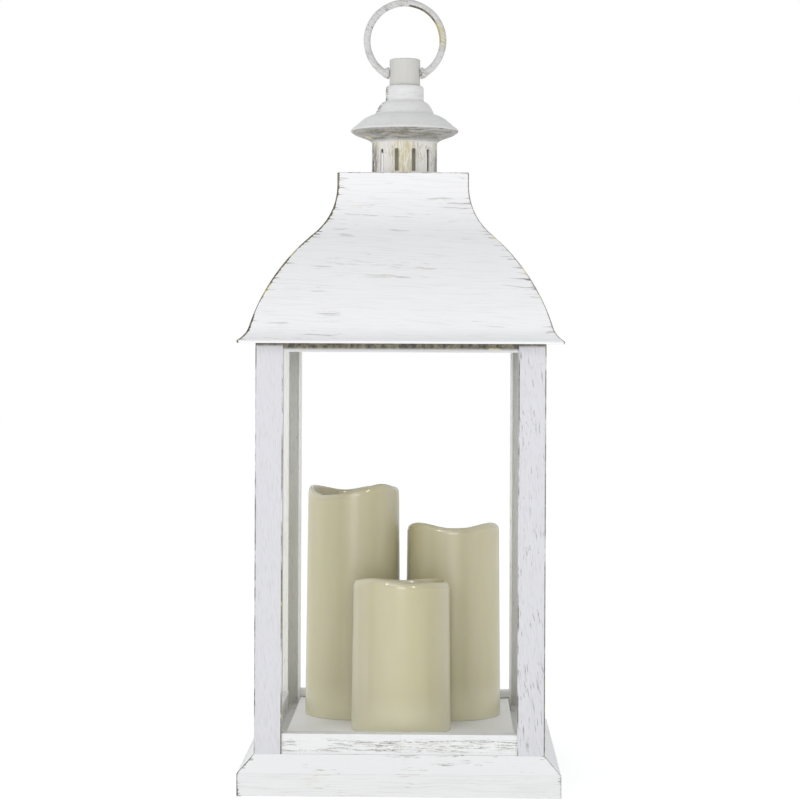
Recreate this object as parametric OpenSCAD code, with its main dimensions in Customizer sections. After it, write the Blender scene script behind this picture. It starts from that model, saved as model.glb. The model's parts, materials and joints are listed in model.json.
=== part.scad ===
// Square flameless candle lantern: plinth, open frame, ogee roof, vent
// chimney, ring handle and three LED pillar candles run from one battery box.
// Origin: centre of the footprint, on the surface it stands on. Front is -Y.

/* [Body] */
// Half the width of the plinth
plinth_half = 140.3; // [136:0.1:145]
// Height of the plinth's upright face
plinth_face_h = 19.8; // [16:0.1:24]
// Height of the plinth's top, where posts and rails stand
plinth_top = 34.2; // [33:0.1:38]
// Half the width over the posts' outer faces
frame_half = 126.6; // [122:0.1:128]
// Width of a post's face
post_w = 24; // [20:0.5:28]
// Depth of the lips that turn inwards on posts and rails
lip_d = 13; // [8:0.5:16]
// Top of the bottom rails
low_rail_top = 52; // [46:0.5:60]
// Lower edge of the top rails
high_rail_bottom = 384.5; // [378:0.5:388]
// Wall of the moulded frame pieces
frame_wall = 2.2; // [1.8:0.1:3]

/* [Deck] */
// Half the width of the raised floor, across
deck_half_x = 101.4; // [98:0.1:102]
// Half the depth of the raised floor, front to back
deck_half_y = 110; // [104:0.5:112]
// Height of the raised floor's surface
deck_top = 45; // [42:0.1:48]

/* [Roof] */
// Lower edge of the roof's rim
rim_bottom = 392.2; // [390:0.1:396]
// Height of the rim's edge
rim_edge_h = 2.5; // [2:0.1:4]
// Top of the roof's flat top plate
roof_top = 546.3; // [544:0.1:550]
// Half the width of the roof's neck
roof_neck_half = 59.3; // [56:0.1:62]
// Radius of the long convex curve
roof_arc_r = 184.3; // [182:0.1:186]
// Radius of the hollow curve under the neck
roof_fillet_r = 60; // [50:1:66]
// Radius of the flare at the rim
flare_r = 20; // [16:0.5:24]
// Steepness of the flare where it ends, from upright
flare_end = 62; // [50:1:70]
// Wall of the roof
roof_wall = 2.4; // [2:0.1:3]

/* [Chimney and cap] */
// Outer radius of the vent chimney
chimney_r = 30.1; // [28:0.1:32]
// Number of vent slots
slot_count = 12; // [8:1:16]
// Width of a vent slot
slot_w = 3.8; // [3:0.1:5]
// Radius of the cap's brim
brim_r = 50; // [46:0.5:54]
// Radius of the neck block that holds the ring
neck_r = 14.2; // [13:0.1:15]

/* [Ring handle] */
// Height of the ring's pivot
pivot_z = 642.6; // [641:0.1:645]
// Radius of the ring, to the middle of its bar
ring_r = 35.2; // [34:0.1:37]
// Diameter of the ring's bar
ring_bar_d = 6.5; // [5:0.1:7]
// Height of the ring's centre above its pivot
ring_rise = 30; // [29:0.1:31]
// Radius of the ring's pins
ring_pin_r = 3; // [2.6:0.05:3.2]

/* [Candles] */
// Distance of each candle's axis from the middle
candle_offset = 54; // [53:0.5:56]
// Radius of a candle at its foot
candle_foot_r = 44.8; // [43:0.1:45.5]
// Taper of a candle's side, in degrees
candle_draft = 0.6; // [0.3:0.1:0.9]
// Height of the tall, middle and short candles
candle_heights = [216.8, 180.9, 140.1];
// Wall of a candle's shell
candle_wall = 2.8; // [2:0.1:4]
// Depth of a candle's hollow top
insert_drop = 14; // [12:0.5:16]
// Depth of the dip across a candle's rim, on its axis
rim_dip = 7.5; // [5:0.5:8]
// Fall of that dip from front to back, in degrees
rim_fall = 3.4; // [2:0.1:4]

/* [Power] */
// Diameter of one AA cell
cell_d = 14.5;
// Length of one AA cell over its button
cell_len = 50.5;
// Spacing of the cells
cell_pitch = 16; // [15.5:0.1:17]
// Travel of the switch either side of its middle position
switch_travel = 3; // [2:0.5:4]

/* [Hidden] */
$fn = 64;

WHITEWASH = "#efede6";
IVORY = "#e6dcb8";
DARK_PLASTIC = "#2b2b2c";
BOARD_GREEN = "#2f6b45";
STEEL = "#b9bcc0";
COPPER = "#b3703a";
RED = "#a8322c";

eps = 0.01;

// Plinth
plinth_wall = 2.6;
plinth_rim_lift = 0.6;
plinth_opening_half = 88;
boss_reach = 112;
boss_r = 4;
screw_shank_r = 1.5;
screw_head_r = 3;
screw_head_h = 1.6;

// Base cover and battery compartment
cover_z = 3;
cover_t = 2.4;
cover_half = plinth_half - plinth_wall - 0.3;
well_x = 3 * cell_pitch / 2;
well_y = 31;
well_wall = 2;
well_ceiling = 20.4;
well_top = well_ceiling + well_wall;
door_x = 34;
door_y = 37;
door_bottom = 1.4;
door_top = 2.9;
rail_w = 3;
rail_gap = 0.2;
cell_z = 12.9;
spring_room = well_y * 2 - cell_len;
contact_t = 0.8;
knob_x = 62;

// Posts and rails
post_foot_t = 3;
frame_plate_z = 404;
frame_plate_t = 3;
rail_setback = 1.2;
rail_half_len = frame_half - post_w;
rib_w = 2.4;
rib_proud = 0.35;
rib_pitch = 44;
post_screw_at = frame_half - post_w / 2;

// Roof outline: the flare, the long arc and the hollow arc meet on tangents
roof_arc_x = roof_neck_half + roof_fillet_r - 163.6;
roof_arc_z = 353.2;
flare_a = asin((rim_bottom + rim_edge_h - roof_arc_z + flare_r * sin(flare_end))
               / (roof_arc_r + flare_r));
flare_x = roof_arc_x + (roof_arc_r + flare_r) * cos(flare_a);
flare_z = roof_arc_z + (roof_arc_r + flare_r) * sin(flare_a);
rim_half = flare_x - flare_r * cos(flare_end);
fillet_x = roof_neck_half + roof_fillet_r;
fillet_a = acos((fillet_x - roof_arc_x) / (roof_arc_r + roof_fillet_r));
fillet_z = roof_arc_z + (roof_arc_r + roof_fillet_r) * sin(fillet_a);
arc_steps = 14;
roof_boss_at = 116;

// Chimney, cap, neck and ring
chimney_wall = 2.4;
chimney_top = 577;
slot_low = 550;
slot_high = 570.8;
shoulder_top = 630.8;
neck_top = 655.2;
pin_reach = 6;
pin_clearance = 0.06;
collar_r = 5.4;
collar_in = neck_r + 0.4;
collar_out = 17.8;
rod_r = 2.5;
vent_hole_r = 5;
vent_ring_r = 21;
spacer_r = 14;
spacer_wall = 2;
cap_ceiling = 626;
ring_end_a = acos(ring_rise / ring_r);

// Candles: name order is tall, middle, short
candle_angles = [150, 30, 270];
insert_t = 1.6;
ledge_h = 1.6;
ledge_w = 1.8;
candle_foot_t = 2.4;
foot_edge = 0.6;
rim_dip_r = 60;
holder_r = 6;
holder_h = 9;
led_r = 2.5;
led_body_h = 2.6;
led_tip_h = 4.4;
lead_r = 1.1;
lead_hole_r = 2.2;
lead_at = candle_offset - 30;
candle_screw_at = 37;
board_z = 24;
board_t = 1.6;

function arc_points(cx, cz, r, a0, a1) = [
    for (i = [0 : arc_steps])
        let (a = a0 + (a1 - a0) * i / arc_steps)
        [cx + r * cos(a), cz + r * sin(a)]
];

// The right half of the roof's outline, moved in by t, from rim to top plate
function roof_half_outline(t, floor_z, top_z) = concat(
    [[flare_x - (flare_r + t) * cos(flare_end), floor_z]],
    arc_points(flare_x, flare_z, flare_r + t, 180 + flare_end, 180 + flare_a),
    arc_points(roof_arc_x, roof_arc_z, roof_arc_r - t, flare_a, fillet_a),
    arc_points(fillet_x, fillet_z, roof_fillet_r + t, 180 + fillet_a, 180),
    [[roof_neck_half - t, top_z]]
);

function mirrored(points) = concat(
    points,
    [for (i = [len(points) - 1 : -1 : 0]) [-points[i][0], points[i][1]]]
);

function unit(v) = v / norm(v);

// A round tube swept along a path that lies in one plane, or along a helix
module swept_tube(path, r, normal, sides = 8) {
    last = len(path) - 1;
    points = [
        for (i = [0 : last])
            let (
                t = unit(path[min(i + 1, last)] - path[max(i - 1, 0)]),
                u = unit(cross(t, normal)),
                v = cross(t, u)
            )
            for (k = [0 : sides - 1])
                path[i] + r * (cos(360 * k / sides) * u + sin(360 * k / sides) * v)
    ];
    skin = [
        for (i = [0 : last - 1])
            for (k = [0 : sides - 1])
                let (n = (k + 1) % sides, a = i * sides, b = a + sides)
                [a + k, b + k, b + n, a + n]
    ];
    start_cap = [[for (k = [0 : sides - 1]) k]];
    end_cap = [[for (k = [sides - 1 : -1 : 0]) last * sides + k]];
    polyhedron(points, concat(start_cap, skin, end_cap), convexity = 6);
}

module four_corners(at) {
    for (x = [-at, at])
        for (y = [-at, at])
            translate([x, y, 0]) children();
}

module four_sides(at) {
    for (i = [0 : 3])
        rotate([0, 0, 90 * i]) translate([at, 0, 0]) children();
}

module square_slab(half, z0, z1) {
    translate([-half, -half, z0]) cube([2 * half, 2 * half, z1 - z0]);
}

module deck_slab(inset, z0, z1) {
    half_x = deck_half_x - inset;
    half_y = deck_half_y - inset;
    translate([-half_x, -half_y, z0]) cube([2 * half_x, 2 * half_y, z1 - z0]);
}

// A pan-head screw that enters upwards; its head's top face is at z
module screw(z, length) {
    translate([0, 0, z - screw_head_h]) cylinder(r = screw_head_r, h = screw_head_h);
    translate([0, 0, z]) cylinder(r = screw_shank_r, h = length);
}

module screw_hole(z0, z1, r = screw_shank_r) {
    translate([0, 0, z0 - eps]) cylinder(r = r, h = z1 - z0 + 2 * eps);
}

// A square solid of revolution-like section: upright face, bevel, flat top
module plinth_solid(t, z0) {
    outline = [
        [plinth_half - t, z0],
        [plinth_half - t, plinth_face_h - 0.4 * t],
        [frame_half - t, plinth_top - t],
    ];
    intersection() {
        rotate([90, 0, 0])
            linear_extrude(2 * plinth_half + 2, center = true) polygon(mirrored(outline));
        rotate([90, 0, 90])
            linear_extrude(2 * plinth_half + 2, center = true) polygon(mirrored(outline));
    }
}

module plinth() {
    color(WHITEWASH) difference() {
        union() {
            difference() {
                plinth_solid(0, plinth_rim_lift);
                plinth_solid(plinth_wall, plinth_rim_lift - 1);
                square_slab(plinth_opening_half, plinth_top - plinth_wall - 1, plinth_top + 1);
            }
            four_sides(boss_reach)
                translate([0, 0, cover_z + cover_t])
                    cylinder(r = boss_r, h = plinth_top - cover_z - cover_t - 1);
        }
        four_sides(boss_reach) screw_hole(cover_z, 20);
        four_corners(post_screw_at) screw_hole(30, 36);
        four_corners(96) screw_hole(30, 36);
    }
}

module deck() {
    color(WHITEWASH) difference() {
        union() {
            difference() {
                deck_slab(0, plinth_top, deck_top);
                deck_slab(frame_wall, plinth_top - 1, deck_top - frame_wall);
            }
            four_corners(96) translate([0, 0, plinth_top])
                cylinder(r = 3.5, h = deck_top - plinth_top - 1);
        }
        four_corners(96) screw_hole(plinth_top, plinth_top + 6);
        for (a = candle_angles) rotate([0, 0, a]) {
            translate([lead_at, 0, 0]) screw_hole(deck_top - frame_wall, deck_top, lead_hole_r);
            translate([candle_offset, 0, 0]) candle_screw_ring()
                screw_hole(deck_top - frame_wall, deck_top);
        }
    }
}

module base_cover() {
    rail_len = 96;
    color(WHITEWASH) difference() {
        union() {
            square_slab(cover_half, cover_z, cover_z + cover_t);
            for (side = [0, 1]) mirror([side, 0, 0]) {
                translate([door_x + rail_gap, -door_y - 1, 0.4])
                    cube([rail_w, rail_len, cover_z - 0.4]);
                translate([door_x - 2, -door_y - 1, 0.4])
                    cube([rail_w + 2, rail_len, 0.8]);
            }
            translate([-door_x - rail_gap - rail_w, -door_y - 3, 0.4])
                cube([2 * (door_x + rail_gap + rail_w), 2.8, cover_z - 0.4]);
        }
        translate([-well_x, -well_y, cover_z - 1]) cube([2 * well_x, 2 * well_y, cover_t + 2]);
        translate([knob_x - 2.4, -switch_travel - 2.4, cover_z - 1])
            cube([4.8, 2 * switch_travel + 4.8, cover_t + 2]);
        four_sides(boss_reach) screw_hole(cover_z, cover_z + cover_t);
    }
}

module foot_pads() {
    color(DARK_PLASTIC) four_corners(116) cylinder(r = 10, h = cover_z);
}

module base_screws() {
    color(STEEL) four_sides(boss_reach) screw(cover_z, 14);
}

module deck_screws() {
    color(STEEL) four_corners(96) screw(plinth_top - plinth_wall, 7);
}

module battery_box() {
    color(DARK_PLASTIC) difference() {
        translate([-well_x - well_wall, -well_y - well_wall, cover_z + cover_t])
            cube([2 * (well_x + well_wall), 2 * (well_y + well_wall), well_top - cover_z - cover_t]);
        translate([-well_x, -well_y, cover_z])
            cube([2 * well_x, 2 * well_y, well_ceiling - cover_z]);
    }
    color(DARK_PLASTIC) for (x = [-16, 16])
        for (y = [-10, 10])
            translate([x, y, well_top]) cylinder(r = 2, h = board_z - well_top);
}

module battery_door() {
    color(WHITEWASH) {
        translate([-door_x, -door_y, door_bottom])
            cube([2 * door_x, 2 * door_y, door_top - door_bottom]);
        for (i = [0 : 4])
            translate([-14, 16 + 3 * i, door_bottom - 0.5]) cube([28, 1.2, 0.5 + eps]);
    }
}

// One AA cell along Y; flip = 1 puts its button at the back
module cell(index) {
    x = (index - 1) * cell_pitch;
    flip = index % 2 == 0 ? 1 : -1;
    button_h = 1.2;
    body_len = cell_len - button_h;
    translate([x, flip * (spring_room / 2 - contact_t), cell_z])
        rotate([flip * 90, 0, 0]) rotate([180, 0, 0])
            translate([0, 0, -cell_len / 2]) {
                color(COPPER) cylinder(d = cell_d, h = body_len * 0.28);
                color(DARK_PLASTIC) translate([0, 0, body_len * 0.28])
                    cylinder(d = cell_d, h = body_len * 0.72);
                color(STEEL) translate([0, 0, body_len]) cylinder(r = 2.7, h = button_h);
            }
}

// The end of the well, +1 back or -1 front, where a cell's flat base sits
function spring_end(index) = index % 2 == 0 ? 1 : -1;

module contact_springs() {
    turns = 3.5;
    steps = 42;
    for (index = [0 : 2]) {
        x = (index - 1) * cell_pitch;
        side = -spring_end(index);
        base_y = side * (well_y - contact_t);
        path = [
            for (i = [0 : steps])
                let (f = i / steps, a = 360 * turns * f, r = 4.6 - 2 * f)
                [x + r * cos(a), base_y - side * (0.5 + 8.9 * f), cell_z + r * sin(a)]
        ];
        color(STEEL) swept_tube(path, 0.45, [0, 1, 0], 6);
    }
}

module contact_plates() {
    color(STEEL) for (index = [0 : 2])
        for (side = [-1, 1])
            translate([(index - 1) * cell_pitch, side * (well_y - contact_t / 2), cell_z])
                cube([12, contact_t, 12], center = true);
}

module timer_board() {
    color(BOARD_GREEN) translate([-20, -14, board_z]) cube([40, 28, board_t]);
    color(DARK_PLASTIC) translate([-19, -9, board_z + board_t]) cube([4, 18, 3.2]);
    color(STEEL) translate([15, -8, board_z + board_t]) cylinder(r = 2.2, h = 5);
}

module timer_chip() {
    color(DARK_PLASTIC) translate([8, -3, board_z + board_t]) cube([5, 6, 1.6]);
    color(STEEL) for (i = [0 : 3])
        for (side = [0, 1])
            translate([side == 0 ? 7 : 13, -2.4 + 1.4 * i, board_z + board_t]) cube([1, 0.6, 0.8]);
}

// Two leads from the board's edge to the end contacts of the cells
module battery_leads() {
    path = [
        [0, 15.4, 25], [0, 20, 26.4], [0, 28, 26.4], [0, 32.6, 25.4], [0, 34.6, 22.4],
        [0, 34.8, 17], [0, 34.4, 13.6],
    ];
    color(RED) for (side = [0, 1])
        mirror([0, side, 0]) translate([cell_pitch, 0, 0])
            swept_tube(path, 0.9, [1, 0, 0]);
}

// Two leads from the board's edge to the slide switch
module switch_leads() {
    path = [
        [21.4, 0, 25], [26, 0, 26.2], [36, 0, 26.4], [46, 0, 24.6], [54, 0, 20.4],
        [57.6, 0, 15.4], [58, 0, 13], [58, 0, 11.4],
    ];
    color(RED) for (y = [-4, 4])
        translate([0, y, 0]) swept_tube(path, 0.9, [0, 1, 0]);
}

// One lead to each candle: off the board, up through the deck, to the LED
module led_leads() {
    color(RED) for (i = [0 : 2])
        rotate([0, 0, candle_angles[i]]) {
            top = deck_top + candle_heights[i] - insert_drop - insert_t - holder_h / 2;
            path = [
                [12, 0, 26.8], [12.4, 0, 29], [14.4, 0, 31], [20, 0, 32], [23.2, 0, 34],
                [lead_at, 0, 38], [lead_at, 0, deck_top + 4], [lead_at, 0, top - 8],
                [lead_at + 1, 0, top - 3.4], [lead_at + 4.4, 0, top - 0.8],
                [lead_at + 10, 0, top], [candle_offset - holder_r - 0.1, 0, top],
            ];
            swept_tube(path, lead_r, [0, 1, 0]);
        }
}

module switch_body() {
    color(DARK_PLASTIC) difference() {
        translate([knob_x - 4.5, -9, cover_z + cover_t]) cube([9, 18, 6]);
        translate([knob_x - 2.4, -switch_travel - 2.4, cover_z])
            cube([4.8, 2 * switch_travel + 4.8, 6]);
    }
}

module switch_knob() {
    color(DARK_PLASTIC) {
        translate([knob_x - 2, -2, 1.6]) cube([4, 4, 6.6]);
        for (i = [-1 : 1])
            translate([knob_x - 2, i * 1.3 - 0.3, 1.2]) cube([4, 0.6, 0.5]);
    }
}

function lipped_angle(o, w, t, d) = [
    [o, o], [o - w, o], [o - w, o - d], [o - w + t, o - d], [o - w + t, o - t],
    [o - t, o - t], [o - t, o - w + t], [o - d, o - w + t], [o - d, o - w], [o, o - w],
];

module post(turn) {
    color(WHITEWASH) rotate([0, 0, turn]) difference() {
        union() {
            translate([0, 0, plinth_top])
                linear_extrude(frame_plate_z - plinth_top)
                    polygon(lipped_angle(frame_half, post_w, frame_wall, lip_d));
            for (z = [plinth_top, frame_plate_z - post_foot_t])
                translate([frame_half - post_w + 1, frame_half - post_w + 1, z])
                    cube([post_w - 2, post_w - 2, post_foot_t]);
        }
        translate([post_screw_at, post_screw_at, 0]) {
            screw_hole(plinth_top - 1, plinth_top + post_foot_t);
            screw_hole(frame_plate_z - post_foot_t, frame_plate_z + 1);
        }
    }
}

// A rail along X, its face to -Y, its lip turned inwards at lip_z
module rail_along_x(z0, z1, lip_z) {
    face_y = -frame_half + rail_setback;
    translate([-rail_half_len, face_y, z0]) cube([2 * rail_half_len, frame_wall, z1 - z0]);
    translate([-rail_half_len, face_y, lip_z]) cube([2 * rail_half_len, lip_d, frame_wall]);
}

// A channel that stands on the plinth: face, top and an inner wall beside the deck
module bottom_rail(turn) {
    color(WHITEWASH) rotate([0, 0, turn]) {
        rail_along_x(plinth_top, low_rail_top, low_rail_top - frame_wall);
        translate([-rail_half_len, -frame_half + rail_setback + lip_d - frame_wall, plinth_top])
            cube([2 * rail_half_len, frame_wall, low_rail_top - plinth_top]);
        for (i = [-2 : 2])
            translate([i * rib_pitch - rib_w / 2, -frame_half + rail_setback - rib_proud, plinth_top])
                cube([rib_w, rib_proud + eps, low_rail_top - plinth_top - 1.2]);
    }
}

module top_rail(turn) {
    color(WHITEWASH) rotate([0, 0, turn])
        rail_along_x(high_rail_bottom, frame_plate_z, high_rail_bottom);
}

module post_screws() {
    color(STEEL) four_corners(post_screw_at) {
        screw(plinth_top - plinth_wall, 9);
        translate([0, 0, 2 * frame_plate_z + frame_plate_t]) mirror([0, 0, 1])
            screw(frame_plate_z, 9);
    }
}

// Flat square frame that ties the post tops and carries the roof
module roof_frame() {
    outer = roof_arc_x + sqrt(pow(roof_arc_r - roof_wall, 2)
            - pow(frame_plate_z + frame_plate_t - roof_arc_z, 2)) - 0.1;
    color(WHITEWASH) difference() {
        square_slab(outer, frame_plate_z, frame_plate_z + frame_plate_t);
        square_slab(100, frame_plate_z - 1, frame_plate_z + frame_plate_t + 1);
        four_corners(post_screw_at) screw_hole(frame_plate_z, frame_plate_z + frame_plate_t);
        four_sides(roof_boss_at) screw_hole(frame_plate_z, frame_plate_z + frame_plate_t);
    }
}

module roof_prism(t, floor_z, top_z) {
    outline = mirrored(roof_half_outline(t, floor_z, top_z));
    intersection() {
        rotate([90, 0, 0])
            linear_extrude(2 * rim_half + 2, center = true) polygon(outline);
        rotate([90, 0, 90])
            linear_extrude(2 * rim_half + 2, center = true) polygon(outline);
    }
}

module roof_shell() {
    boss_z = frame_plate_z + frame_plate_t;
    color(WHITEWASH) difference() {
        union() {
            difference() {
                roof_prism(0, rim_bottom, roof_top);
                roof_prism(roof_wall, rim_bottom - 1, roof_top - roof_wall);
            }
            intersection() {
                four_sides(roof_boss_at) translate([0, 0, boss_z]) cylinder(r = 4.5, h = 34);
                roof_prism(1, rim_bottom, roof_top);
            }
        }
        four_sides(roof_boss_at) screw_hole(boss_z, boss_z + 12);
        screw_hole(roof_top - roof_wall - 1, roof_top + 1, rod_r);
        for (i = [0 : 5])
            rotate([0, 0, 60 * i]) translate([vent_ring_r, 0, 0])
                screw_hole(roof_top - roof_wall - 1, roof_top + 1, vent_hole_r);
    }
}

module roof_screws() {
    color(STEEL) four_sides(roof_boss_at) screw(frame_plate_z, 13);
}

module vent_chimney() {
    color(WHITEWASH) difference() {
        translate([0, 0, roof_top]) cylinder(r = chimney_r, h = chimney_top - roof_top);
        translate([0, 0, roof_top - 1])
            cylinder(r = chimney_r - chimney_wall, h = chimney_top - roof_top + 2);
        for (i = [0 : slot_count - 1])
            rotate([0, 0, 360 / slot_count * (i + 0.5) + 2.4]) {
                translate([chimney_r - 5, -slot_w / 2, slot_low])
                    cube([10, slot_w, slot_high - slot_low - slot_w / 2]);
                translate([chimney_r - 5, 0, slot_high - slot_w / 2])
                    rotate([0, 90, 0]) cylinder(d = slot_w, h = 10);
            }
    }
}

// Tube round the tie rod that carries the cap's weight onto the roof
module spacer_tube() {
    color(WHITEWASH) difference() {
        translate([0, 0, roof_top]) cylinder(r = spacer_r, h = cap_ceiling - roof_top);
        translate([0, 0, roof_top - 1])
            cylinder(r = spacer_r - spacer_wall, h = cap_ceiling - roof_top + 2);
    }
}

// Bell cap: flared underside, brim, dome, stepped bell and shoulder
module cap() {
    outer = [
        [chimney_r, chimney_top], [32.4, 579.6], [38.5, 582.3], [46.3, 585.1],
        [brim_r, 587.9], [brim_r, 589.9], [45.4, 593.4], [38.9, 599], [34.3, 601.8],
        [27.8, 604.3], [25.5, 607.3], [23.4, 611.6], [19.5, 615.7], [17.6, 616.2],
        [17.6, 628], [16.8, 630], [14.8, shoulder_top],
    ];
    inner = [
        [rod_r, shoulder_top], [rod_r, cap_ceiling], [14.4, cap_ceiling], [15.2, 614], [20.6, 609],
        [24, 602], [31, 598], [37, 592], [37, 588], [27.7, 581], [27.7, chimney_top],
    ];
    color(WHITEWASH) rotate_extrude() polygon(concat(outer, inner));
}

module neck() {
    edge = 0.8;
    color(WHITEWASH) difference() {
        rotate_extrude() polygon([
            [0, shoulder_top], [neck_r, shoulder_top], [neck_r, neck_top - edge],
            [neck_r - edge, neck_top], [0, neck_top],
        ]);
        translate([0, 0, shoulder_top - 1]) cylinder(r = rod_r, h = 8);
        for (side = [0, 1])
            mirror([side, 0, 0]) translate([pin_reach - 0.3, 0, pivot_z])
                rotate([0, 90, 0]) cylinder(r = ring_pin_r + pin_clearance, h = neck_r);
    }
}

// Open ring whose ends turn in to pins through two collars
module ring_handle() {
    color(WHITEWASH) {
        translate([0, 0, pivot_z + ring_rise]) rotate([90, 0, 0])
            rotate([0, 0, -90 + ring_end_a]) rotate_extrude(angle = 360 - 2 * ring_end_a)
                translate([ring_r, 0]) circle(d = ring_bar_d);
        for (side = [0, 1]) mirror([side, 0, 0]) translate([0, 0, pivot_z]) rotate([0, 90, 0]) {
            translate([0, 0, pin_reach]) cylinder(r = ring_pin_r, h = collar_out - pin_reach);
            translate([0, 0, collar_in]) cylinder(r = collar_r, h = collar_out - collar_in);
            translate([0, 0, collar_out])
                rotate_extrude() polygon([[0, 0], [collar_r, 0], [3.6, 2.2], [0, 3]]);
        }
    }
}

module tie_rod() {
    head_z = roof_top - roof_wall - 1;
    color(STEEL) {
        translate([0, 0, head_z - 3.4]) cylinder(r = 4.6, h = 3.4, $fn = 6);
        translate([0, 0, head_z - eps]) cylinder(r = rod_r, h = shoulder_top + 6 - head_z);
    }
}

module tie_nut() {
    color(STEEL) difference() {
        translate([0, 0, roof_top - roof_wall - 1]) cylinder(r = 8.5, h = 1);
        translate([0, 0, roof_top - roof_wall - 2]) cylinder(r = rod_r, h = 3);
    }
}

module candle_screw_ring() {
    for (i = [0 : 2]) rotate([0, 0, 60 + 120 * i]) translate([candle_screw_at, 0, 0]) children();
}

module at_candle(i) {
    rotate([0, 0, candle_angles[i]]) translate([candle_offset, 0, deck_top]) children();
}

function candle_r(z) = candle_foot_r - z * tan(candle_draft);

// Drafted shell with a foot flange, an inner ledge and a rim that dips at the front and back
module candle(i) {
    h = candle_heights[i];
    ledge_z = h - insert_drop - insert_t;
    color(IVORY) at_candle(i) difference() {
        rotate_extrude() polygon([
            [candle_r(0) - foot_edge, 0], [candle_r(foot_edge), foot_edge],
            [candle_r(h - 2), h - 2], [candle_r(h) - 0.8, h - 0.5],
            [candle_r(h) - 1.9, h], [candle_r(h) - candle_wall, h - 0.9],
            [candle_r(ledge_z) - candle_wall, ledge_z],
            [candle_r(ledge_z) - candle_wall - ledge_w, ledge_z],
            [candle_r(ledge_z) - candle_wall - ledge_w, ledge_z - ledge_h],
            [candle_r(ledge_z) - candle_wall, ledge_z - ledge_h - ledge_w],
            [candle_r(candle_foot_t) - candle_wall, candle_foot_t],
            [32, candle_foot_t], [32, 0],
        ]);
        rotate([0, 0, -candle_angles[i]]) translate([0, 0, h + rim_dip_r - rim_dip])
            rotate([90 - rim_fall, 0, 0]) cylinder(r = rim_dip_r, h = 120, center = true);
        candle_screw_ring() screw_hole(0, candle_foot_t);
    }
}

// Recessed top of a candle, with a raised eye for its LED
module insert(i) {
    z = candle_heights[i] - insert_drop - insert_t;
    r = candle_r(z) - candle_wall - 0.25;
    color(IVORY) at_candle(i) translate([0, 0, z]) rotate_extrude() polygon([
        [led_r, 0], [r, 0], [r, insert_t], [9, insert_t], [5.2, insert_t + 2.4],
        [led_r, insert_t + 2.4],
    ]);
}

module led(i) {
    z = candle_heights[i] - insert_drop - insert_t;
    color("#f3d9a0") at_candle(i) translate([0, 0, z]) {
        cylinder(r = led_r, h = led_body_h);
        intersection() {
            translate([0, 0, led_body_h]) sphere(r = led_r);
            cylinder(r = led_r + 1, h = led_tip_h);
        }
    }
}

module led_holder(i) {
    z = candle_heights[i] - insert_drop - insert_t;
    color(DARK_PLASTIC) at_candle(i) translate([0, 0, z - holder_h])
        cylinder(r = holder_r, h = holder_h);
}

module candle_screws() {
    color(STEEL) for (i = [0 : 2])
        rotate([0, 0, candle_angles[i]]) translate([candle_offset, 0, 0])
            candle_screw_ring() screw(deck_top - frame_wall, 4);
}

plinth();
deck();
base_cover();
foot_pads();
base_screws();
deck_screws();
battery_box();
battery_door();
cell(0);  // cell_1
cell(1);  // cell_2
cell(2);  // cell_3
contact_springs();
contact_plates();
timer_board();
timer_chip();
battery_leads();
switch_leads();
led_leads();
switch_body();
switch_knob();
post(180);  // post_front_left
post(270);  // post_front_right
post(0);  // post_back_right
post(90);  // post_back_left
bottom_rail(0);  // bottom_rail_front
bottom_rail(90);  // bottom_rail_right
bottom_rail(180);  // bottom_rail_back
bottom_rail(270);  // bottom_rail_left
top_rail(0);  // top_rail_front
top_rail(90);  // top_rail_right
top_rail(180);  // top_rail_back
top_rail(270);  // top_rail_left
post_screws();
roof_frame();
roof_shell();
roof_screws();
vent_chimney();
spacer_tube();
cap();
neck();
ring_handle();
tie_rod();
tie_nut();
candle(0);  // candle_tall
candle(1);  // candle_middle
candle(2);  // candle_short
insert(0);  // insert_tall
insert(1);  // insert_middle
insert(2);  // insert_short
led(0);  // led_tall
led(1);  // led_middle
led(2);  // led_short
led_holder(0);  // led_holder_tall
led_holder(1);  // led_holder_middle
led_holder(2);  // led_holder_short
candle_screws();
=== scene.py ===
"""Visual model of a square flameless candle lantern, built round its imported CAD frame."""
import json
import math

import bmesh
import bpy
from mathutils import Matrix, Vector

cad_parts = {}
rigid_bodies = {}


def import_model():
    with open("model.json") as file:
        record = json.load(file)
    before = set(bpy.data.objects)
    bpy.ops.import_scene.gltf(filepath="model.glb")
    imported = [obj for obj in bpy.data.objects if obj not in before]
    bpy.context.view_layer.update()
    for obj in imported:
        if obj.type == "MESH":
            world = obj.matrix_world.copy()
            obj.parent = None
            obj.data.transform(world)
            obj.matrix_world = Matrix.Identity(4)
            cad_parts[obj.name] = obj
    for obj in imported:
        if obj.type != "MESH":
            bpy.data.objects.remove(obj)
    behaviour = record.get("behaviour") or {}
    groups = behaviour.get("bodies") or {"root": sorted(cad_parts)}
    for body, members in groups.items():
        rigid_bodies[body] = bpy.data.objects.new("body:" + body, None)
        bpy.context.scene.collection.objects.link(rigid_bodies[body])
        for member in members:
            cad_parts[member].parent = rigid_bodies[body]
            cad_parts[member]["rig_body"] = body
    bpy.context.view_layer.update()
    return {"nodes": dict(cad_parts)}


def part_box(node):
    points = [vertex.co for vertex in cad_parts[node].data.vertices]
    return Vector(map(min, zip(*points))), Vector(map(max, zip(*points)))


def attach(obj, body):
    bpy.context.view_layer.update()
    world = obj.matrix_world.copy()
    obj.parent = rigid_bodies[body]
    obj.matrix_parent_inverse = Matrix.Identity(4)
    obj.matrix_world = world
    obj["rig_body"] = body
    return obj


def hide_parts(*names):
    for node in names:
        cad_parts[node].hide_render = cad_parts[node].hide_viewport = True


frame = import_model()
NODES = frame["nodes"]
MM = 0.001

# The vertex attribute that marks worn edges, or gloss on a candle, and its value on bevels
WORN = "worn"
BEVEL_WEAR = 0.85

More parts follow.
